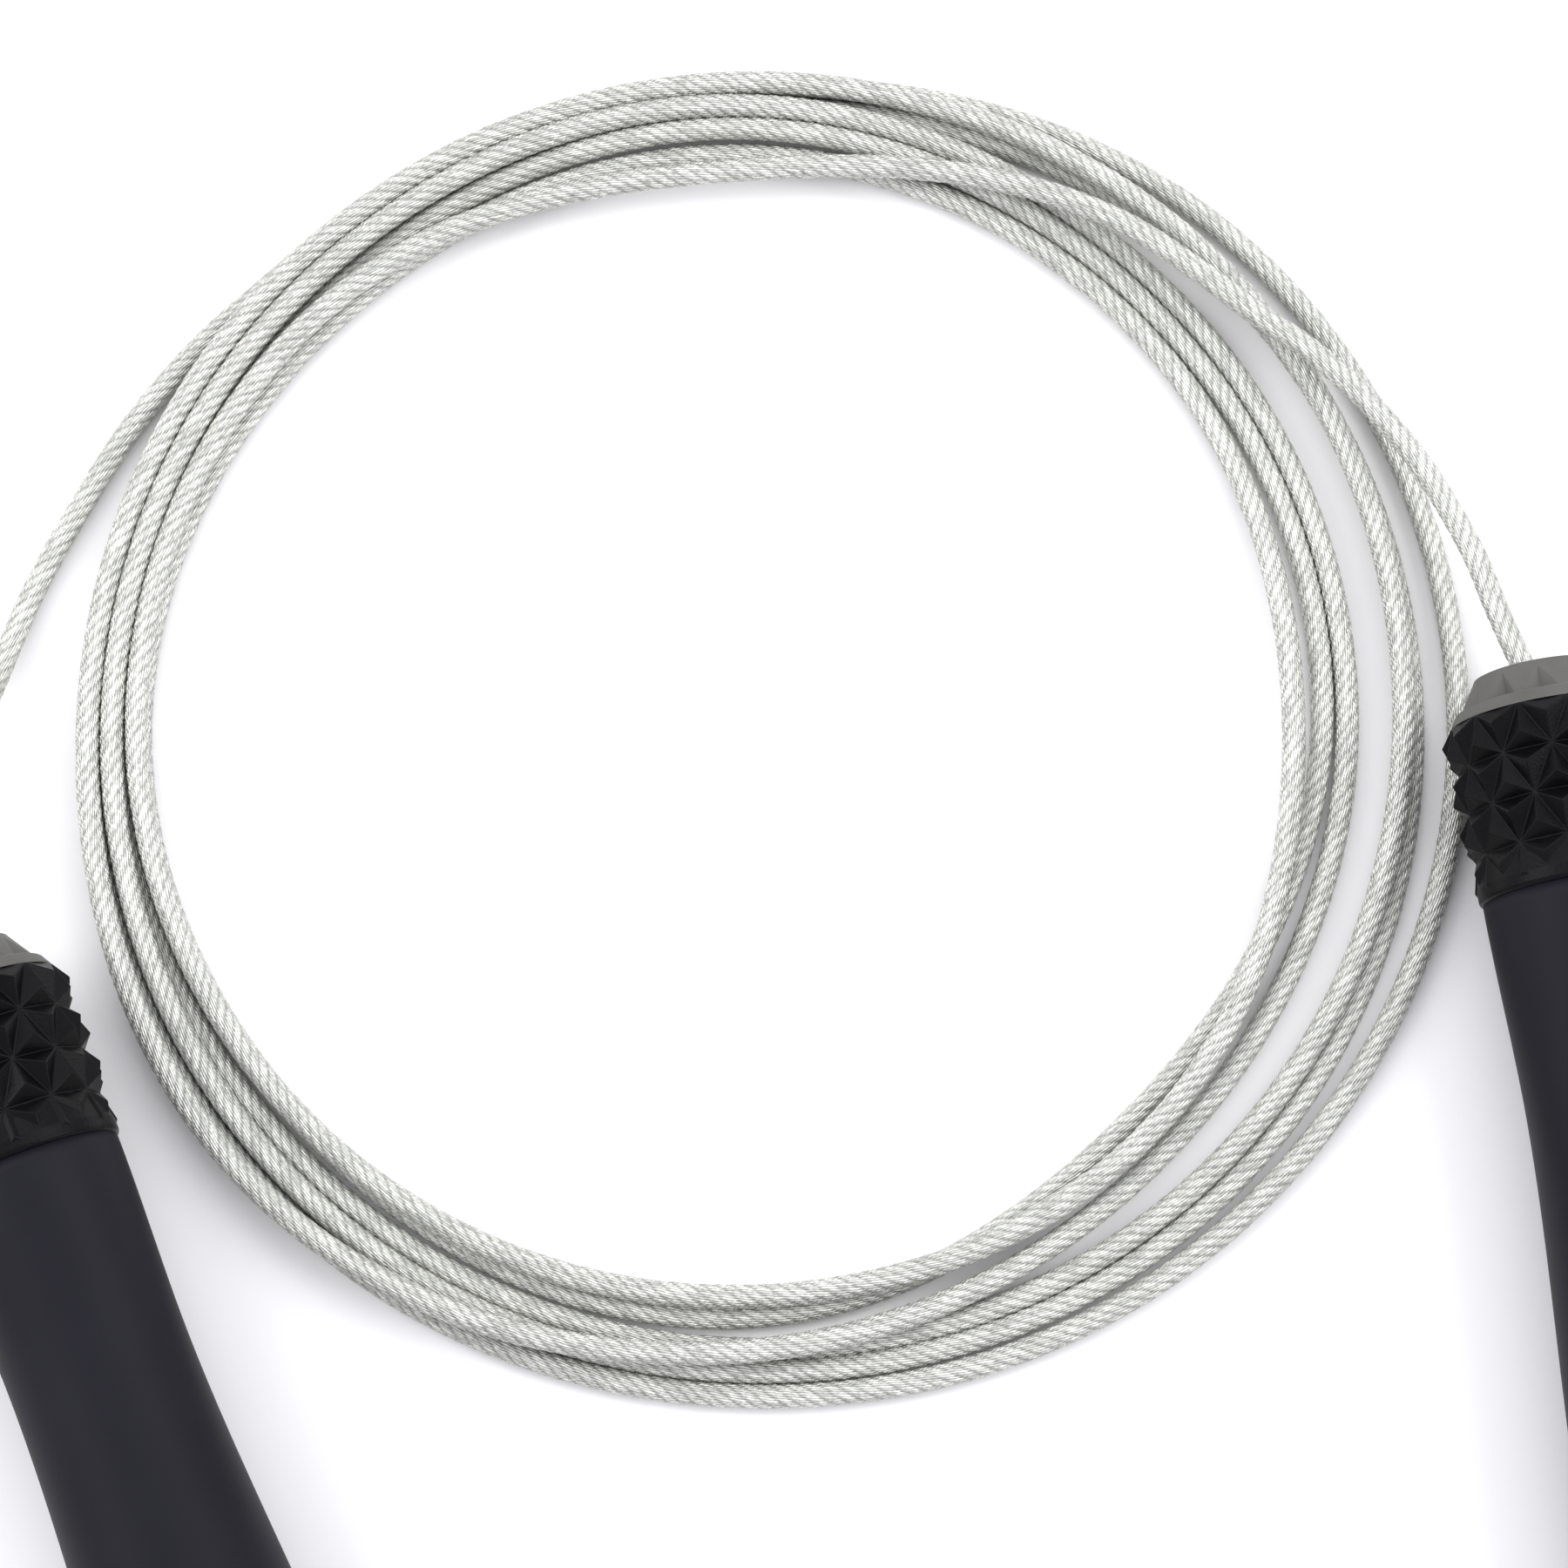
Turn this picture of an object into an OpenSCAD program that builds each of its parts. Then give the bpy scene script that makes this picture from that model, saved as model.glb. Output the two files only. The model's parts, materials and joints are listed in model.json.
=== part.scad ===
// Speed jump rope: a coated steel cable lying in a loose coil, with two ball-bearing handles.
// Each handle is built along its own axis. Its front plane, where the cable comes out, is at 0,
// and the stations behind it grow towards the end cap.

/* [Rope] */
// Diameter of the coated cable
rope_d = 3; // [2.5:0.1:3]
// Radius of the coil's outer edge
coil_outer_r = 86.5; // [80:0.5:86.5]
// Radius of the open middle of the coil
coil_inner_r = 65; // [60:0.5:68]
// Height of the piled turns
coil_h = 7; // [5:0.5:8]

/* [Handle] */
// Length from the collar's front plane to the end cap's back face
handle_len = 140; // [125:1:160]
// Radius at the narrow waist
waist_r = 10.9; // [10.5:0.1:11.4]
// Radius of the belly, which the handle rests on
belly_r = 13.1; // [13:0.1:14]
// Radius of the hollow inside
hollow_r = 8; // [7.5:0.1:8]

/* [Faceted head] */
// Pyramids' valley points in one ring
cells = 12; // [8:1:16]
// Rings of pyramids
bands = 4; // [3:1:4]
// Length of one ring of pyramids
band_len = 5.4; // [5:0.1:6]
// Radius of the valley points next to the collar
valley_front_r = 11.7; // [11.6:0.1:12]
// Radius of the valley points next to the shell
valley_back_r = 11.3; // [11:0.1:11.5]
// Height of a pyramid's tip over its valley points
tip_rise = 1.3; // [1:0.1:1.4]

/* [Collar] */
// Length that shows in front of the head
collar_len = 5.5; // [5:0.1:7]
// Radius of the mouth that the cable comes out of
mouth_r = 5; // [4:0.1:5.5]
// Depth of the triangular recesses
recess_depth = 1.1; // [0.3:0.1:1.3]

/* [Bearing] */
// Outside diameter
bearing_od = 16; // [15:0.5:16]
// Width
bearing_w = 5; // [5:0.5:6]
// Diameter of one ball
ball_d = 2.8; // [2.4:0.1:2.8]
// Number of balls
ball_count = 7; // [6:1:8]

/* [Placement] */
// Height of both handles' axes
axis_h = 13.1; // [13.1:0.1:14]
// Angle of the left handle to the depth direction
left_yaw = 22.4; // [15:0.1:30]
// Angle of the right handle to the depth direction
right_yaw = 8.4; // [5:0.1:12]

/* [Hidden] */
$fn = 96;
GAP = 0.05;
LEFT = [-105.3, 49, left_yaw];
RIGHT = [84.6, 84, right_yaw];
LEFT_TURN = 173;
RIGHT_TURN = 191;

COLLAR_GREY = [0.49, 0.50, 0.47];
GRIP_BLACK = [0.10, 0.10, 0.11];
SHELL_BLACK = [0.17, 0.17, 0.20];
CABLE_SILVER = [0.78, 0.80, 0.78];

// stations along a handle
head_len = bands * band_len;
head_end = collar_len + head_len;
flange_len = 1.5;
spigot_len = 3.8;
bearing_front = collar_len + spigot_len;
bearing_mid = bearing_front + bearing_w / 2;
bearing_back = bearing_front + bearing_w;
nose = bearing_front - 1.4;
clip_front = bearing_front - 0.8;
clip_t = 0.6;
flange_back = bearing_back + 1.5;
washer_back = flange_back + 0.5;
stop_len = 7;
stop_back = washer_back + stop_len;
tail = stop_back + 2.6;
cable_front = nose - 1;
shoulder_len = 2;
waist_at = 52;
belly_at = 105;
cap_len = 2;
shell_end = handle_len - cap_len;

// radii, clearances and small thicknesses inside a handle
neck_r = 9.65;
pocket_r = bearing_od / 2;
shoulder_r = 6.8;
spindle_r = 2.5;
spindle_flange_r = 4;
clip_groove_r = 2.1;
clip_r = 4;
washer_r = 3.8;
pitch_r = 5.25;
groove_r = ball_d / 2 + 0.03;
inner_race_r = 4.4;
outer_race_r = 6.1;
shield_t = 0.3;
shield_inset = 0.2;
rear_shield_at = bearing_back - shield_inset - shield_t;
stop_r = 3.5;
screw_r = 1;
band_r = 11.9;
last_rise = 0.8;
seam_r = 11.5;
rear_r = 12.2;
round_r = 1.2;
cap_r = 10.8;
rear_at = shell_end - round_r;

// coil: the outer edge and the open middle are circles about two centres
COIL_CENTRE = [-8, 79.5, 0];
MIDDLE_CENTRE = [-15.5, 80, 0];

// free stretches between a handle and the coil, from inside the collar
LEFT_ROUTE = [
    [-103.8, 45.4, 13.1], [-104.9, 50, 13],
    [-105.5, 59, 12.2], [-105.5, 68, 9.8], [-104, 77.5, 6], [-101.5, 87, 2.9],
    [-98, 97, 1.6], [-93, 107, 1.6], [-86.5, 118, 1.6], [-78.5, 128, 1.6]
];
RIGHT_ROUTE = [
    [84.8, 80, 13.1], [82.4, 85.6, 13], [79.9, 92, 12.5], [77.6, 98.8, 11.6], [74.2, 106.2, 10.4],
    [70.3, 112.9, 9.4], [64.7, 120, 8.6], [58.5, 126, 8], [52, 131, 7.2]
];

// ---- curves and sweeps ----

function unit(v) = v / norm(v);
function ease(t) = t * t * (3 - 2 * t);
function blend(a, b, t) = a + (b - a) * ease(t);
function axis_dir(side) = [sin(side[2]), -cos(side[2]), 0];
function on_axis(side, at) = [side[0], side[1], axis_h] + at * axis_dir(side);

// a curve through every point of p, with steps places between each two
function catmull(a, b, c, d, t) =
    (2 * b + (c - a) * t + (2 * a - 5 * b + 4 * c - d) * t * t
     + (3 * b - a - 3 * c + d) * t * t * t) / 2;
function through(p, steps) = [
    for (i = [0 : len(p) - 2], s = [0 : steps - 1])
        catmull(p[max(i - 1, 0)], p[i], p[i + 1], p[min(i + 2, len(p) - 1)], s / steps),
    p[len(p) - 1]
];

function heading(p, i) = unit(p[min(i + 1, len(p) - 1)] - p[max(i - 1, 0)]);
function ring_points(centre, along, r, sides) =
    let (across = unit(cross(along, [0, 0, 1])), up = cross(across, along))
    [for (k = [0 : sides - 1]) let (a = (k + 0.5) * 360 / sides)
        centre + r * (cos(a) * across + sin(a) * up)];

module tube(path, first_heading, r, sides = 8) {
    count = len(path);
    points = [for (i = [0 : count - 1])
        each ring_points(path[i], i == 0 ? first_heading : heading(path, i), r, sides)];
    walls = [for (i = [0 : count - 2], k = [0 : sides - 1])
        let (a = i * sides + k, b = i * sides + (k + 1) % sides)
        each [[a, b, b + sides], [a, b + sides, a + sides]]];
    front = [[for (k = [0 : sides - 1]) sides - 1 - k]];
    back = [[for (k = [0 : sides - 1]) (count - 1) * sides + k]];
    polyhedron(points, concat(walls, front, back));
}

module lead(side, route) {
    color(CABLE_SILVER)
        tube(through(concat([on_axis(side, cable_front)], route), 2), -axis_dir(side), rope_d / 2);
}

module rope_coil() {
    edge = [
        [0, 0], [coil_outer_r, 0], [coil_outer_r, 1.2], [coil_outer_r - 2, 2.9],
        [coil_outer_r - 6, coil_h], [0, coil_h]
    ];
    color(CABLE_SILVER)
        difference() {
            translate(COIL_CENTRE) rotate_extrude($fn = 180) polygon(edge);
            translate(MIDDLE_CENTRE - [0, 0, 1]) cylinder(r = coil_inner_r, h = coil_h + 2);
        }
}

// ---- a handle's own frame: z runs back from the collar's front plane ----

module place(side) {
    translate([side[0], side[1], axis_h]) rotate([0, 90, side[2] - 90]) children();
}

module ring(at, len, r_out, r_in) {
    translate([0, 0, at])
        difference() {
            cylinder(r = r_out, h = len);
            translate([0, 0, -1]) cylinder(r = r_in, h = len + 2);
        }
}

// ---- cable end and what clamps it ----

module cable_end() {
    color(CABLE_SILVER)
        translate([0, 0, cable_front]) cylinder(d = rope_d, h = tail - cable_front);
}

module cable_stop() {
    color("goldenrod")
        difference() {
            ring(washer_back, stop_len, stop_r, rope_d / 2 + GAP);
            translate([0, 0, washer_back + stop_len / 2])
                rotate([0, 90, 0]) cylinder(r = screw_r, h = stop_r + 1);
        }
}

module stop_screw() {
    screw_len = 1.8;
    key_r = 0.55;
    key_depth = 0.9;
    color("dimgray")
        translate([rope_d / 2 + 2 * GAP, 0, washer_back + stop_len / 2])
            rotate([0, 90, 0])
                difference() {
                    cylinder(r = screw_r - GAP, h = screw_len);
                    translate([0, 0, screw_len - key_depth])
                        cylinder(r = key_r, h = screw_len, $fn = 6);
                }
}

module thrust_washer() {
    color("silver")
        ring(flange_back, washer_back - flange_back, washer_r, rope_d / 2 + 4 * GAP);
}

// ---- bearing and its spindle ----

module spindle() {
    color("silver")
        difference() {
            union() {
                translate([0, 0, nose]) cylinder(r = spindle_r - GAP, h = flange_back - nose);
                translate([0, 0, bearing_back])
                    cylinder(r = spindle_flange_r, h = flange_back - bearing_back);
            }
            translate([0, 0, nose - 1])
                cylinder(r = rope_d / 2 + GAP, h = flange_back - nose + 2);
            ring(clip_front, clip_t, spindle_flange_r, clip_groove_r);
        }
}

module retaining_clip() {
    clip_gap = 2.6;
    color("dimgray")
        difference() {
            ring(clip_front + GAP, clip_t - 2 * GAP, clip_r, clip_groove_r + GAP);
            translate([0, -clip_gap / 2, clip_front - 1]) cube([clip_r + 1, clip_gap, clip_t + 2]);
        }
}

module ball_groove() {
    translate([0, 0, bearing_mid])
        rotate_extrude() translate([pitch_r, 0]) circle(r = groove_r, $fn = 48);
}

module inner_race() {
    color("silver")
        difference() {
            ring(bearing_front, bearing_w, inner_race_r, spindle_r);
            ball_groove();
        }
}

module outer_race() {
    color("silver")
        difference() {
            ring(bearing_front, bearing_w, pocket_r - GAP, outer_race_r);
            ball_groove();
        }
}

module at_each_ball(r) {
    for (k = [0 : ball_count - 1])
        rotate([0, 0, k * 360 / ball_count]) translate([r, 0, bearing_mid]) children();
}

module ball_set() {
    color("gainsboro") at_each_ball(pitch_r) sphere(d = ball_d, $fn = 40);
}

// a ring with one round pocket drilled through it for each ball
module ball_cage() {
    cage_w = 3.4;
    cage_r = 5.8;
    cage_t = 1.1;
    color("darkgoldenrod")
        difference() {
            ring(bearing_mid - cage_w / 2, cage_w, cage_r, cage_r - cage_t);
            at_each_ball(cage_r - 2 * cage_t)
                rotate([0, 90, 0]) cylinder(d = ball_d + 2 * GAP, h = 3 * cage_t);
        }
}

module shield(at) {
    color("silver") ring(at, shield_t, outer_race_r - GAP, inner_race_r + 3 * GAP);
}

// ---- collar ----

// one inverted pyramid cut into the collar's cone, opposite the x axis, deepest towards the flange
module collar_recess(r_front, r_back, z_front, z_back) {
    half = 172 / cells;
    lift = 0.12;
    deepest = 0.72;
    lean = 0.4;
    mid_r = r_front + deepest * (r_back - r_front);
    mid_z = z_front + deepest * (z_back - z_front);
    function at(r, a, z) = [r * cos(a), r * sin(a), z];
    polyhedron(
        [
            at(r_front + lift, 0, z_front),
            at((r_back + lift) / cos(half), -half, z_back),
            at((r_back + lift) / cos(half), half, z_back),
            at(mid_r - recess_depth, 0, mid_z + recess_depth * lean)
        ],
        [[0, 1, 2], [0, 3, 1], [1, 3, 2], [2, 3, 0]]
    );
}

module collar(turn) {
    cone_end = collar_len - flange_len;
    rim_r = 8;
    cone_r = 10.2;
    flange_front_r = 10.7;
    flange_r = 11.5;
    recess_front = 0.7;
    inner_step = nose - 0.4;
    profile = [
        [mouth_r, 0.8], [mouth_r + 0.25, 0.25], [mouth_r + 0.8, 0], [rim_r - 0.5, 0],
        [rim_r - 0.15, 0.12], [rim_r, 0.4], [cone_r, cone_end],
        [flange_front_r, cone_end], [flange_front_r + 0.15, cone_end + 0.1],
        [flange_r - 0.1, collar_len - 0.4], [flange_r, collar_len - 0.15], [flange_r, collar_len],
        [pocket_r - GAP, collar_len], [pocket_r - GAP, bearing_front],
        [shoulder_r, bearing_front], [shoulder_r, inner_step], [mouth_r, inner_step]
    ];
    color(COLLAR_GREY)
        difference() {
            rotate_extrude() polygon(profile);
            for (k = [0 : cells - 1])
                rotate([0, 0, turn + k * 360 / cells])
                    collar_recess(rim_r + 0.2, cone_r, recess_front, cone_end);
        }
}

// ---- faceted head ----

// Rings of valley points lie on a triangular lattice, each ring turned half a cell from the last.
// Every lattice triangle carries one low pyramid.
function half_step(row) = (row + 1) % 2 / 2;
function lattice(r, turn, row, step, z) =
    let (a = turn + (step + half_step(row)) * 360 / cells)
    [r * cos(a), r * sin(a), collar_len + z];

function valley_r(row) = valley_front_r + (valley_back_r - valley_front_r) * row / bands;
function tip_r(row) = valley_r(row) + (row == bands - 1 ? last_rise : tip_rise);

module facets(turn) {
    valley_count = (bands + 1) * cells;
    function valley(row, k) = row * cells + (k + cells) % cells;
    function tip(row, k, kind) = valley_count + (row * cells + k) * 2 + kind;
    valleys = [for (row = [0 : bands], k = [0 : cells - 1])
        lattice(valley_r(row), turn, row, k, row * band_len)];
    tips = [for (row = [0 : bands - 1], k = [0 : cells - 1], kind = [0, 1])
        lattice(tip_r(row), turn, row, k + (1 - kind) / 2, (row + (1 + kind) / 3) * band_len)];
    pyramids = [for (row = [0 : bands - 1], k = [0 : cells - 1])
        let (
            behind = k + 2 * half_step(row),
            a = valley(row, k), b = valley(row + 1, behind), c = valley(row, k + 1),
            d = valley(row + 1, behind - 1),
            p = tip(row, k, 0), q = tip(row, k, 1)
        )
        each [[a, b, p], [b, c, p], [c, a, p], [a, d, q], [d, b, q], [b, a, q]]];
    front = [[for (k = [0 : cells - 1]) valley(0, k)]];
    back = [[for (k = [0 : cells - 1]) valley(bands, cells - 1 - k)]];
    polyhedron(concat(valleys, tips), concat(pyramids, front, back));
}

module head_grip(turn) {
    // smooth band that the last ring of pyramids runs out into
    band = [
        [0, head_end - band_len], [valley_back_r - 0.2, head_end - band_len],
        [band_r, head_end - 1.8], [band_r, head_end - 0.6], [seam_r, head_end], [0, head_end]
    ];
    color(GRIP_BLACK)
        difference() {
            union() {
                facets(turn);
                rotate_extrude() polygon(band);
            }
            translate([0, 0, collar_len - 1]) cylinder(r = neck_r + GAP, h = head_len + 2);
        }
}

// ---- handle shell and end cap ----

function shell_r(z) =
    z < waist_at ? blend(seam_r, waist_r, (z - head_end) / (waist_at - head_end))
    : z < belly_at ? blend(waist_r, belly_r, (z - waist_at) / (belly_at - waist_at))
    : blend(belly_r, rear_r, (z - belly_at) / (rear_at - belly_at));

module handle_shell() {
    steps = 28;
    side_line = [for (i = [0 : steps])
        let (z = head_end + (rear_at - head_end) * i / steps) [shell_r(z), z]];
    rear_round = [for (a = [15 : 15 : 90])
        [rear_r - round_r * (1 - cos(a)), rear_at + round_r * sin(a)]];
    inside = [
        [hollow_r, shell_end], [hollow_r, bearing_back + shoulder_len],
        [shoulder_r, bearing_back + shoulder_len], [shoulder_r, bearing_back],
        [pocket_r, bearing_back], [pocket_r, collar_len]
    ];
    neck = [[neck_r, collar_len], [neck_r, head_end]];
    color(SHELL_BLACK)
        rotate_extrude() polygon(concat(neck, side_line, rear_round, inside));
}

module end_cap() {
    spigot_r = hollow_r - GAP;
    bore_r = spigot_r - 1.6;
    front = shell_end - 10;
    profile = [
        [0, shell_end], [bore_r, shell_end], [bore_r, front],
        [spigot_r - 0.5, front], [spigot_r, front + 0.5], [spigot_r, shell_end],
        [cap_r, shell_end], [cap_r, handle_len - 0.6], [cap_r - 0.2, handle_len - 0.2],
        [cap_r - 0.6, handle_len], [0, handle_len]
    ];
    color(COLLAR_GREY) rotate_extrude() polygon(profile);
}

rope_coil();
lead(LEFT, LEFT_ROUTE);  // left_lead
lead(RIGHT, RIGHT_ROUTE);  // right_lead

place(LEFT) cable_end();  // left_cable_end
place(LEFT) cable_stop();  // left_cable_stop
place(LEFT) stop_screw();  // left_stop_screw
place(LEFT) thrust_washer();  // left_thrust_washer
place(LEFT) spindle();  // left_spindle
place(LEFT) retaining_clip();  // left_retaining_clip
place(LEFT) inner_race();  // left_inner_race
place(LEFT) ball_set();  // left_ball_set
place(LEFT) ball_cage();  // left_ball_cage
place(LEFT) outer_race();  // left_outer_race
place(LEFT) shield(bearing_front + shield_inset);  // left_front_shield
place(LEFT) shield(rear_shield_at);  // left_rear_shield
place(LEFT) collar(LEFT_TURN);  // left_collar
place(LEFT) head_grip(LEFT_TURN);  // left_head_grip
place(LEFT) handle_shell();  // left_handle_shell
place(LEFT) end_cap();  // left_end_cap

place(RIGHT) cable_end();  // right_cable_end
place(RIGHT) cable_stop();  // right_cable_stop
place(RIGHT) stop_screw();  // right_stop_screw
place(RIGHT) thrust_washer();  // right_thrust_washer
place(RIGHT) spindle();  // right_spindle
place(RIGHT) retaining_clip();  // right_retaining_clip
place(RIGHT) inner_race();  // right_inner_race
place(RIGHT) ball_set();  // right_ball_set
place(RIGHT) ball_cage();  // right_ball_cage
place(RIGHT) outer_race();  // right_outer_race
place(RIGHT) shield(bearing_front + shield_inset);  // right_front_shield
place(RIGHT) shield(rear_shield_at);  // right_rear_shield
place(RIGHT) collar(RIGHT_TURN);  // right_collar
place(RIGHT) head_grip(RIGHT_TURN);  // right_head_grip
place(RIGHT) handle_shell();  // right_handle_shell
place(RIGHT) end_cap();  // right_end_cap
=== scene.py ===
"""Looks of the jump rope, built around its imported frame. Everything is in metres.

The rope is one six-strand cable swept along its whole route, from inside the left handle, through
the coil, into the right handle. The handles' heads and shells are rebuilt with finer shapes, and
every other part keeps its CAD mesh under a material of its own.
"""

import json
import math

import bmesh
import bpy
import numpy as np
from mathutils import Matrix, Vector


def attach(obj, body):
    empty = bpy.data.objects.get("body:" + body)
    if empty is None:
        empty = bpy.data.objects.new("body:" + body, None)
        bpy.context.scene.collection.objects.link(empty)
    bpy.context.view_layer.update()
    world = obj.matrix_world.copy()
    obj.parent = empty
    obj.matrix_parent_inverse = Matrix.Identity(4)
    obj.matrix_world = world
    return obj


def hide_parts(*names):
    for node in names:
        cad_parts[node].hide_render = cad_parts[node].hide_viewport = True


MM = 0.001
SIDES = ("left", "right")

# ---- rope ----

ROPE_D = 3 * MM
ROPE_R = ROPE_D / 2
LEFT_ROUTE = [
    (-0.1038, 0.0454, 0.0131), (-0.1049, 0.0500, 0.0130), (-0.1055, 0.0590, 0.0122),
    (-0.1055, 0.0680, 0.0098), (-0.1040, 0.0775, 0.0060), (-0.1015, 0.0870, 0.0029),
    (-0.0980, 0.0970, 0.0016), (-0.0930, 0.1070, 0.0016), (-0.0865, 0.1180, 0.0016),
    (-0.0785, 0.1280, 0.0016),
]
RIGHT_ROUTE = [
    (0.0848, 0.0800, 0.0131), (0.0824, 0.0856, 0.0130), (0.0799, 0.0920, 0.0125),
    (0.0776, 0.0988, 0.0116), (0.0742, 0.1062, 0.0104), (0.0703, 0.1129, 0.0094),
    (0.0647, 0.1200, 0.0086), (0.0585, 0.1260, 0.0080), (0.0520, 0.1310, 0.0072),
]
TAIL_POINTS = (26, 20, 13, 7)

# The coil's turns, from the left handle on: each one's radius in millimetres round the eye, and the
# layer of cable it lies in, towards north-west, north, north-east, east, south-east, south,
# south-west and west. The rope is wound clockwise.
COIL_EYE = (-11.5 * MM, 80 * MM)
TURNS = [
    (81, 82, 87.6, 88, 85.2, 81.5, 80.2, 78.9),
    (78.2, 79.3, 83, 82.4, 81.6, 78.6, 77.3, 76.1),
    (77, 78.8, 76.6, 74.4, 73.2, 76.6, 80.9, 79),
    (79.9, 81.8, 82.9, 81, 78.8, 76, 74.7, 75.9),
    (75, 76.1, 73.7, 71.3, 67.8, 72.2, 71.4, 73),
    (72.2, 73.3, 70.8, 67.6, 70.5, 70, 71.3, 73.1),
    (73.3, 70.4, 79.9),
]
LAYERS = [
    (0, 0, 0, 0, 0, 0, 0, 0),
    (0, 0, 0, 0, 0, 0.1, 0.5, 1),
    (1, 1, 0, 0, 0.2, 1.2, 1.2, 1),
    (1, 1, 1, 1, 0.3, 0, 0, 0),
    (0, 0.7, 0, 0, 0, 0, 0, 0),
    (0, 0, 0, 0.9, 1.2, 0.8, 1, 1),
    (1, 0.9, 2),
]
LAYER_RISE = 2.85 * MM
TURN_STEPS = 48
ROUTE_STEPS = 12

# ---- cable's strands ----

STRANDS = 6
WIRES = 28
WIRE_LEAN = 0.86
SPECK_LEN = 0.7 * MM
LAY_PITCH = 10.8 * MM
RING_STEP = 0.8 * MM
STRAND_PROFILE = ((0.0, 0.88), (0.2, 0.965), (0.5, 1.0), (0.8, 0.965))

# ---- handle, by stations behind the collar's front plane ----

COLLAR_LEN = 5.5 * MM
BANDS = 4
BAND_LEN = 5.4 * MM
CELLS = 12
HEAD_END = COLLAR_LEN + BANDS * BAND_LEN
TURN = {"left": 173, "right": 191}
VALLEY_FRONT_R = 11.7 * MM
VALLEY_BACK_R = 11.3 * MM
TIP_RISE = 1.3 * MM
LAST_RISE = 0.8 * MM
BAND_R = 11.9 * MM
SEAM_R = 11.5 * MM
NECK_R = 9.7 * MM
WAIST_AT, WAIST_R = 52 * MM, 10.9 * MM
BELLY_AT, BELLY_R = 105 * MM, 13.1 * MM
SHELL_END = 138 * MM
REAR_R = 12.2 * MM
ROUND_R = 1.2 * MM
HOLLOW_R = 8 * MM
AROUND = 96
SHELL_STATIONS = 80
FACET_ROUND = 0.14 * MM


# ---- small helpers ----

def catmull(a, b, c, d, t):
    return (2 * b + (c - a) * t + (2 * a - 5 * b + 4 * c - d) * t**2
            + (3 * b - a - 3 * c + d) * t**3) / 2


def through(points, steps):
    """A smooth line through every point, with steps places between each two."""
    p = np.array(points, float)
    line = []
    for i in range(len(p) - 1):
        a, b, c, d = p[max(i - 1, 0)], p[i], p[i + 1], p[min(i + 2, len(p) - 1)]
        line += [catmull(a, b, c, d, s / steps) for s in range(steps)]
    return np.array(line + [p[-1]])


def evenly(line, step):
    """The line again, with its points the same distance apart."""
    along = np.concatenate([[0], np.cumsum(np.linalg.norm(np.diff(line, axis=0), axis=1))])
    at = np.linspace(0, along[-1], round(along[-1] / step) + 1)
    return np.stack([np.interp(at, along, line[:, k]) for k in range(3)], axis=1)


def new_object(name, vertices, faces, smooth=True):
    mesh = bpy.data.meshes.new(name)
    mesh.from_pydata([tuple(v) for v in vertices], [], faces)
    mesh.validate()
    mesh.shade_smooth() if smooth else mesh.shade_flat()
    piece = bpy.data.objects.new(name, mesh)
    bpy.context.scene.collection.objects.link(piece)
    return piece


# ---- route of the rope ----

def coil_turns():
    """The turns' centreline, clockwise from the north-west."""
    places = [(radius * MM, layer, 0) for turn, layers in zip(TURNS, LAYERS, strict=True)
              for radius, layer in zip(turn, layers, strict=True)]
    eased = through(places, TURN_STEPS // 8)
    radii, layers = eased[:, 0], np.maximum(eased[:, 1], 0)
    angles = math.radians(135) - np.arange(len(radii)) * 2 * math.pi / TURN_STEPS
    x = COIL_EYE[0] + radii * np.cos(angles)
    y = COIL_EYE[1] + radii * np.sin(angles)
    return np.stack([x, y, ROPE_R + LAYER_RISE * layers], axis=1)


def rope_route(handles):
    left = [handles["left"] @ Vector((0, 0, at * MM)) for at in TAIL_POINTS]
    right = [handles["right"] @ Vector((0, 0, at * MM)) for at in reversed(TAIL_POINTS)]
    points = [*left, *LEFT_ROUTE, *coil_turns(), *reversed(RIGHT_ROUTE), *right]
    return evenly(through(points, ROUTE_STEPS), RING_STEP)


# ---- materials ----

class Nodes:
    """A material's nodes, made and joined by short calls."""

    def __init__(self, name, **principled):
        self.material = bpy.data.materials.new(name)
        self.material.use_nodes = True
        self.tree = self.material.node_tree
        self.shader = self.tree.nodes["Principled BSDF"]
        for socket, value in principled.items():
            self.shader.inputs[socket.replace("_", " ")].default_value = value

    def node(self, kind, inputs=(), **settings):
        made = self.tree.nodes.new("ShaderNode" + kind)
        for key, value in settings.items():
            setattr(made, key, value)
        for key, value in dict(inputs).items():
            self.put(made.inputs[key], value)
        return made

    def put(self, socket, value):
        if isinstance(value, bpy.types.NodeSocket):
            self.tree.links.new(value, socket)
        else:
            socket.default_value = value

    def math(self, operation, a, b=0.0):
        return self.node("Math", {0: a, 1: b}, operation=operation).outputs[0]

    def noise(self, scale, detail=2.0, vector=None):
        place = vector or self.node("TexCoord").outputs["Object"]
        inputs = {"Vector": place, "Scale": scale, "Detail": detail}
        return self.node("TexNoise", inputs).outputs["Fac"]

    def ramp(self, value, *stops):
        made = self.node("ValToRGB", {"Fac": value})
        elements = made.color_ramp.elements
        while len(elements) < len(stops):
            elements.new(0.5)
        for element, (at, colour) in zip(elements, stops, strict=True):
            element.position = at
            element.color = (*colour, 1.0)
        return made.outputs["Color"]

    def span(self, value, low, high, out_low=0.0, out_high=1.0):
        inputs = {"Value": value, 1: low, 2: high, 3: out_low, 4: out_high}
        return self.node("MapRange", inputs).outputs["Result"]

    def bump(self, height, strength, distance):
        inputs = {"Height": height, "Strength": strength, "Distance": distance}
        return self.node("Bump", inputs).outputs["Normal"]

    def use(self, **sockets):
        for socket, value in sockets.items():
            self.put(self.shader.inputs[socket.replace("_", " ")], value)
        return self.material


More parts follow.
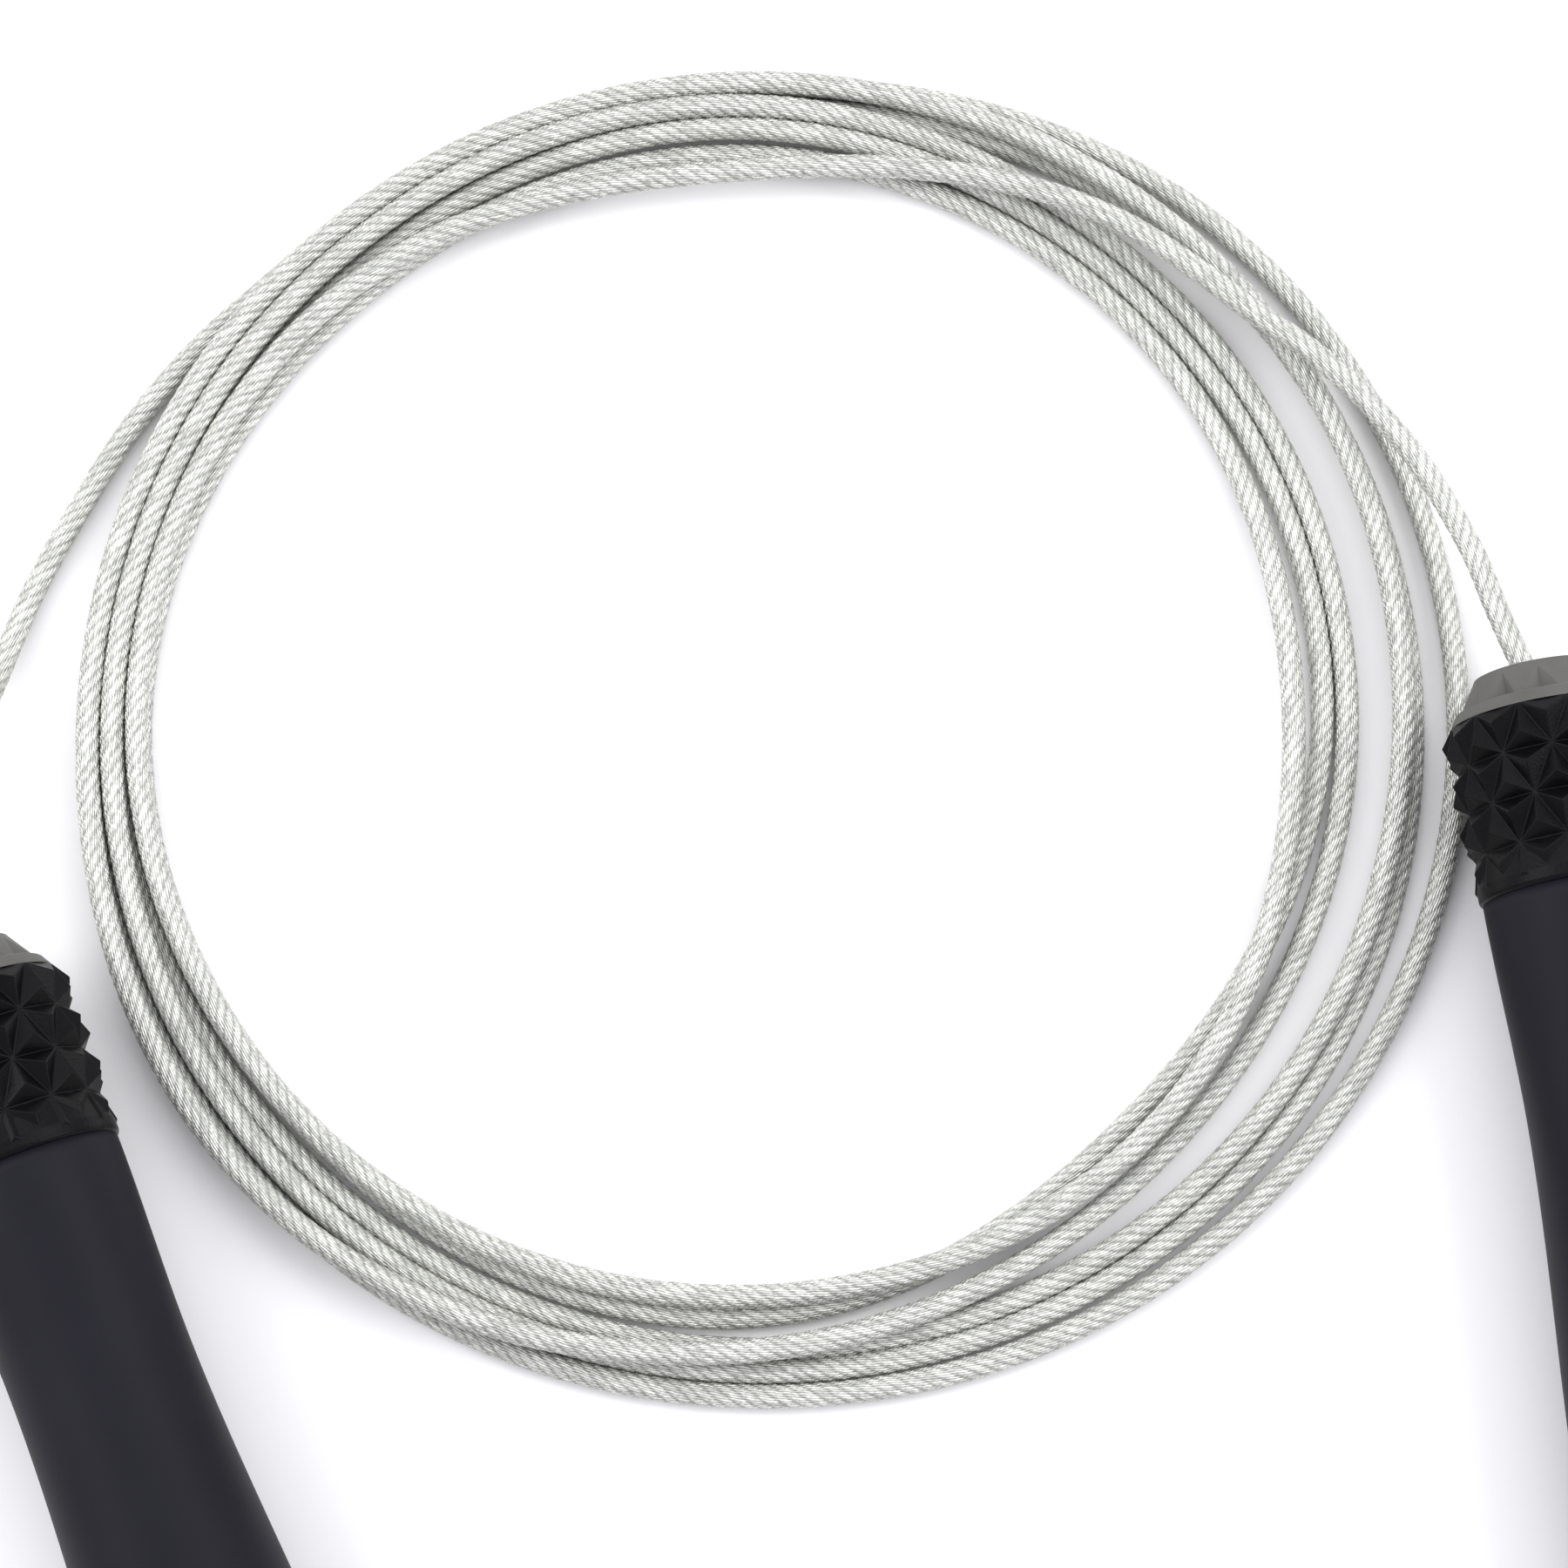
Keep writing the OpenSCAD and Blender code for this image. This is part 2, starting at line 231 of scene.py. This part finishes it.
def grey(value):
    return (value, value, value)


def cable_material():
    """Bright wires laid along the cable on twisted strands, under a clear glossy coating, with
    painted shade in the grooves between strands and between wires, and painted highlights on the
    wires.
    """
    m = Nodes("cable_strands", Metallic=0.35, Coat_Weight=0.3, Coat_Roughness=0.12, Coat_IOR=1.45)
    uv = m.node("UVMap", uv_map="lay").outputs["UV"]
    split = m.node("SeparateXYZ", {"Vector": uv})
    around, along = split.outputs["X"], split.outputs["Y"]
    strand = m.math("MULTIPLY", around, float(STRANDS))
    number = m.math("FLOOR", strand)
    across = m.math("FRACT", strand)
    # the wires lie nearly along the cable's own axis, so each one crosses its strand slantwise
    lean = m.math("MULTIPLY", along, WIRE_LEAN / LAY_PITCH)
    wire = m.math("MULTIPLY", m.math("ADD", around, lean), float(WIRES))
    wire_round = m.math("SINE", m.math("MULTIPLY", m.math("FRACT", wire), math.pi))
    seed = m.node("CombineXYZ", {"X": m.math("FLOOR", wire), "Y": number})
    shade = m.node("TexWhiteNoise", {"Vector": seed.outputs[0]}, noise_dimensions="3D")
    speck_at = m.node("CombineXYZ", {
        "X": wire, "Y": m.math("MULTIPLY", along, 1 / SPECK_LEN), "Z": number,
    })
    speck = m.noise(1.0, 1.0, speck_at.outputs[0])
    # painted highlights: each wire segment gets its own random brightness, and short specks along
    # every wire brighten it further as glints
    lit = m.span(shade.outputs["Value"], 0.0, 1.0, 0.5, 1.0)
    glint = m.span(speck, 0.3, 0.7, 0.44, 1.0)
    # painted shade: the colour darkens towards each strand's edges, in the grooves between the
    # strands
    groove_shade = m.span(m.math("SINE", m.math("MULTIPLY", across, math.pi)), 0.0, 0.8, 0.42, 1.0)
    # painted shade: the colour darkens between neighbouring wires
    wire_gap_shade = m.span(wire_round, 0.0, 0.75, 0.4, 1.0)
    tone = m.math("MULTIPLY", m.math("MULTIPLY", lit, groove_shade), m.math("MULTIPLY", wire_gap_shade, glint))
    colour = m.ramp(tone, (0.0, (0.13, 0.14, 0.12)), (0.35, (0.52, 0.53, 0.49)),
                    (0.8, (0.90, 0.91, 0.84)))
    relief = m.math("ADD", wire_round, m.math("MULTIPLY", speck, 0.8))
    return m.use(Base_Color=colour, Roughness=0.28, Normal=m.bump(relief, 0.9, 0.09 * MM))


def shell_material():
    """Soft-touch satin black with a faint grain."""
    m = Nodes("satin_shell", Specular_IOR_Level=0.12)
    cloud = m.noise(60.0, 3.0)
    colour = m.ramp(cloud, (0.3, (0.0070, 0.0068, 0.0108)), (0.7, (0.0095, 0.0092, 0.0142)))
    fine = m.noise(4200.0, 2.0)
    rough = m.span(cloud, 0.3, 0.7, 0.50, 0.56)
    return m.use(Base_Color=colour, Roughness=rough, Normal=m.bump(fine, 0.12, 0.02 * MM))


def grip_material():
    """Moulded black rubber, with a grain that sparkles a little."""
    m = Nodes("rubber_grip", Specular_IOR_Level=0.10)
    cloud = m.noise(220.0, 3.0)
    colour = m.ramp(cloud, (0.3, (0.0014, 0.0014, 0.0018)), (0.7, (0.0030, 0.0029, 0.0036)))
    fine = m.noise(2800.0, 2.0)
    rough = m.span(cloud, 0.3, 0.7, 0.28, 0.38)
    return m.use(Base_Color=colour, Roughness=rough, Normal=m.bump(fine, 0.75, 0.06 * MM))


def collar_material():
    """Satin grey moulded plastic."""
    m = Nodes("grey_collar", Specular_IOR_Level=0.35)
    cloud = m.noise(150.0, 3.0)
    colour = m.ramp(cloud, (0.3, (0.078, 0.078, 0.071)), (0.7, (0.100, 0.100, 0.091)))
    fine = m.noise(3800.0, 2.0)
    rough = m.span(cloud, 0.3, 0.7, 0.42, 0.52)
    return m.use(Base_Color=colour, Roughness=rough, Normal=m.bump(fine, 0.10, 0.02 * MM))


def metal_material(name, colour, roughness):
    """Machined metal, with fine marks and a little variation in its polish."""
    m = Nodes(name, Metallic=1.0)
    marks = m.noise(2600.0, 3.0)
    cloud = m.noise(500.0, 2.0)
    low = tuple(c * 0.86 for c in colour)
    tint = m.ramp(cloud, (0.3, low), (0.7, colour))
    rough = m.span(marks, 0.3, 0.7, roughness * 0.8, roughness * 1.25)
    return m.use(Base_Color=tint, Roughness=rough, Normal=m.bump(marks, 0.08, 0.01 * MM))


def floor_material():
    m = Nodes("studio_floor", Specular_IOR_Level=0.2, Roughness=0.6)
    return m.use(Base_Color=m.ramp(m.noise(8.0), (0.0, grey(0.86)), (1.0, grey(0.88))))


# ---- pieces ----

def cable(path):
    """The stranded cable: a six-lobed section that turns once in each lay."""
    tangents = np.gradient(path, axis=0)
    tangents /= np.linalg.norm(tangents, axis=1)[:, None]
    normal = np.cross(tangents[0], (0, 0, 1.0))
    section = [((k + t) / STRANDS, r) for k in range(STRANDS) for t, r in STRAND_PROFILE]
    around = np.array([u for u, _ in section])
    radius = np.array([r for _, r in section]) * ROPE_R
    rings = []
    for i, (centre, along) in enumerate(zip(path, tangents, strict=True)):
        normal = normal - along * (normal @ along)
        normal /= np.linalg.norm(normal)
        across = np.cross(along, normal)
        angle = 2 * math.pi * (around + i * RING_STEP / LAY_PITCH)
        rings.append(centre + radius[:, None] * (np.cos(angle)[:, None] * normal
                                                 + np.sin(angle)[:, None] * across))
    count, sides = len(path), len(section)
    faces = [(i * sides + k, i * sides + (k + 1) % sides,
              (i + 1) * sides + (k + 1) % sides, (i + 1) * sides + k)
             for i in range(count - 1) for k in range(sides)]
    faces += [tuple(range(sides - 1, -1, -1)), tuple((count - 1) * sides + k for k in range(sides))]
    piece = new_object("cable", np.concatenate(rings), faces)
    lay = piece.data.uv_layers.new(name="lay")
    corners = np.zeros((len(piece.data.loops), 2))
    for face in piece.data.polygons:
        for loop in face.loop_indices:
            ring, k = divmod(piece.data.loops[loop].vertex_index, sides)
            corners[loop] = (around[k], ring * RING_STEP)
        # the last face round closes on u = 1
        if len(face.vertices) == 4 and face.vertices[1] % sides == 0:
            corners[[face.loop_indices[1], face.loop_indices[2]], 0] = 1.0
    lay.data.foreach_set("uv", corners.ravel())
    return piece


def revolved(outline, first=0):
    """Vertices and faces of a closed outline of (radius, station), turned round a handle's axis."""
    vertices = [(r * math.cos(a), r * math.sin(a), z)
                for a in (2 * math.pi * k / AROUND for k in range(AROUND)) for r, z in outline]
    count = len(outline)
    faces = [(first + k * count + i, first + k * count + (i + 1) % count,
              first + (k + 1) % AROUND * count + (i + 1) % count,
              first + (k + 1) % AROUND * count + i)
             for k in range(AROUND) for i in range(count)]
    return vertices, faces


def outward(piece):
    """Turns every face of the piece outwards."""
    mesh = bmesh.new()
    mesh.from_mesh(piece.data)
    bmesh.ops.recalc_face_normals(mesh, faces=mesh.faces)
    mesh.to_mesh(piece.data)
    mesh.free()


def edge_round(piece, width):
    bevel = piece.modifiers.new("edge_round", "BEVEL")
    bevel.width = width
    bevel.segments = 2
    bevel.limit_method = "ANGLE"
    bevel.angle_limit = math.radians(25)
    bevel.harden_normals = True


def half_step(row):
    return (row + 1) % 2 / 2


def valley_r(row):
    return VALLEY_FRONT_R + (VALLEY_BACK_R - VALLEY_FRONT_R) * row / BANDS


def head_grip(side):
    """Rings of low pyramids that run out into a smooth band, as two closed shells."""
    def at(radius, step, station):
        a = math.radians(TURN[side] + step * 360 / CELLS)
        return radius * math.cos(a), radius * math.sin(a), COLLAR_LEN + station

    vertices = [at(valley_r(row), k + half_step(row), row * BAND_LEN)
                for row in range(BANDS + 1) for k in range(CELLS)]
    inner = len(vertices)
    vertices += [at(NECK_R, k + half_step(row), row * BAND_LEN)
                 for row in (0, BANDS) for k in range(CELLS)]
    faces = []
    for row in range(BANDS):
        for k in range(CELLS):
            behind = k + round(2 * half_step(row))
            a, c = row * CELLS + k, row * CELLS + (k + 1) % CELLS
            b = (row + 1) * CELLS + behind % CELLS
            d = (row + 1) * CELLS + (behind - 1) % CELLS
            tip_r = valley_r(row) + (LAST_RISE if row == BANDS - 1 else TIP_RISE)
            p = len(vertices)
            q = p + 1
            vertices.append(at(tip_r, k + 0.5 + half_step(row), (row + 1 / 3) * BAND_LEN))
            vertices.append(at(tip_r, k + half_step(row), (row + 2 / 3) * BAND_LEN))
            faces += [(a, b, p), (b, c, p), (c, a, p), (a, d, q), (d, b, q), (b, a, q)]
    for k in range(CELLS):
        n = (k + 1) % CELLS
        last = BANDS * CELLS
        faces += [(k, n, inner + n, inner + k),
                  (inner + k, inner + n, inner + CELLS + n, inner + CELLS + k),
                  (last + k, last + n, inner + CELLS + n, inner + CELLS + k)]
    band_start = HEAD_END - BAND_LEN
    band = [
        (NECK_R, band_start), (VALLEY_BACK_R - 0.2 * MM, band_start), (BAND_R, HEAD_END - 1.8 * MM),
        (BAND_R, HEAD_END - 0.6 * MM), (BAND_R - 0.1 * MM, HEAD_END - 0.25 * MM),
        (SEAM_R, HEAD_END), (NECK_R, HEAD_END),
    ]
    ring_vertices, ring_faces = revolved(band, len(vertices))
    piece = new_object(side + "_faceted_head", vertices + ring_vertices, faces + ring_faces, False)
    outward(piece)
    return piece


def ease(a, b, t):
    return a + (b - a) * t * t * (3 - 2 * t)


def shell_radius(z):
    rear_at = SHELL_END - ROUND_R
    if z < WAIST_AT:
        return ease(SEAM_R, WAIST_R, (z - HEAD_END) / (WAIST_AT - HEAD_END))
    if z < BELLY_AT:
        return ease(WAIST_R, BELLY_R, (z - WAIST_AT) / (BELLY_AT - WAIST_AT))
    return ease(BELLY_R, REAR_R, (z - BELLY_AT) / (rear_at - BELLY_AT))


def handle_shell(side):
    """The hollow handle, its outline drawn finely."""
    rear_at = SHELL_END - ROUND_R
    outline = [(NECK_R, COLLAR_LEN), (NECK_R, HEAD_END)]
    outline += [(shell_radius(z), z) for z in np.linspace(HEAD_END, rear_at, SHELL_STATIONS)]
    outline += [(REAR_R - ROUND_R * (1 - math.cos(a)), rear_at + ROUND_R * math.sin(a))
                for a in np.radians(np.arange(15, 91, 15))]
    outline += [(HOLLOW_R, SHELL_END), (HOLLOW_R, COLLAR_LEN)]
    piece = new_object(side + "_body", *revolved(outline))
    outward(piece)
    return piece


# ---- scene ----

def studio():
    floor = new_object("floor", [(-3, -3, 0), (3, -3, 0), (3, 3, 0), (-3, 3, 0)], [(0, 1, 2, 3)])
    floor.data.materials.append(floor_material())
    world = bpy.data.worlds.new("studio")
    world.use_nodes = True
    world.node_tree.nodes["Background"].inputs["Color"].default_value = (0.96, 0.94, 1.0, 1.0)
    world.node_tree.nodes["Background"].inputs["Strength"].default_value = 1.0
    bpy.context.scene.world = world
    for name, place, size, power in (
        ("key", (0.85, 0.25, 0.80), 0.8, 6.5),
        ("fill", (-0.90, 0.20, 0.72), 0.8, 6.0),
        ("top", (0.0, 0.50, 0.70), 0.7, 2.0),
    ):
        lamp = bpy.data.lights.new(name, "AREA")
        lamp.size = size
        lamp.energy = power
        light = bpy.data.objects.new(name, lamp)
        light.location = place
        aim = Vector((0, 0.05, 0)) - Vector(place)
        light.rotation_euler = aim.to_track_quat("-Z", "Y").to_euler()
        bpy.context.scene.collection.objects.link(light)


def camera():
    lens = bpy.data.cameras.new("camera")
    lens.lens = 109.0
    lens.sensor_width = 36.0
    eye = bpy.data.objects.new("camera", lens)
    bpy.context.scene.collection.objects.link(eye)
    elevation, distance = math.radians(78), 0.58
    target = Vector((-5.9 * MM, 73 * MM, 0))
    back = Vector((0, -math.cos(elevation), math.sin(elevation)))
    eye.location = target + distance * back
    eye.rotation_mode = "QUATERNION"
    eye.rotation_quaternion = (-back).to_track_quat("-Z", "Y")
    bpy.context.scene.camera = eye


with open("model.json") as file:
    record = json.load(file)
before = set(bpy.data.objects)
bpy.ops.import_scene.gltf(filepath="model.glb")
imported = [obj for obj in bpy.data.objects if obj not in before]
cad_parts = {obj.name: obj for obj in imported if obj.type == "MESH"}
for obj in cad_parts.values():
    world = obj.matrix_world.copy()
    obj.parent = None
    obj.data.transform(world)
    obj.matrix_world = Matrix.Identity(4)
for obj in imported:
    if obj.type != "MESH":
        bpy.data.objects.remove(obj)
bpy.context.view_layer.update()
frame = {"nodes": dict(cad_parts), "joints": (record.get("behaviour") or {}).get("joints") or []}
joints = {j["name"]: j for j in frame["joints"]}


def handle_frame(side):
    """A handle's own axes: z runs back from the collar's front plane, and x points down."""
    joint = joints[side + "_handle_spin"]
    back, down = Vector(joint["axis"]).normalized(), Vector((0, 0, -1))
    turned = Matrix((down, back.cross(down), back)).transposed().to_4x4()
    return Matrix.Translation(joint["pos_m"]) @ turned


handles = {side: handle_frame(side) for side in SIDES}
camera()

path = rope_route(handles)
rope = cable(path)
rope.data.materials.append(cable_material())
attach(rope, "rope")
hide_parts("rope_coil", "left_lead", "right_lead", "left_cable_end", "right_cable_end")

shell, grip, collar = shell_material(), grip_material(), collar_material()
steel = metal_material("ground_steel", (0.62, 0.62, 0.64), 0.18)
brass = metal_material("turned_brass", (0.72, 0.52, 0.24), 0.28)
aluminium = metal_material("turned_aluminium", (0.70, 0.71, 0.73), 0.30)
oxide = metal_material("black_oxide", (0.06, 0.06, 0.065), 0.35)
FINISH = {
    "cable_stop": brass, "ball_cage": brass, "stop_screw": oxide, "retaining_clip": oxide,
    "thrust_washer": steel, "spindle": aluminium, "inner_race": steel, "outer_race": steel,
    "ball_set": steel, "front_shield": aluminium, "rear_shield": aluminium,
    "collar": collar, "end_cap": collar,
}

for side in SIDES:
    for part, build, material, slot in (
        ("head_grip", head_grip, grip, "grip_rubber"),
        ("handle_shell", handle_shell, shell, "shell_plastic"),
    ):
        piece = build(side)
        piece.data.transform(handles[side])
        piece.data.materials.append(material)
        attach(piece, side + "_handle")
        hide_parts(side + "_" + part)
        if part == "head_grip":
            edge_round(piece, FACET_ROUND)
    for part, material in FINISH.items():
        node = frame["nodes"][side + "_" + part]
        node.data.materials.clear()
        node.data.materials.append(material)

studio()
bpy.context.scene.view_settings.view_transform = "Standard"
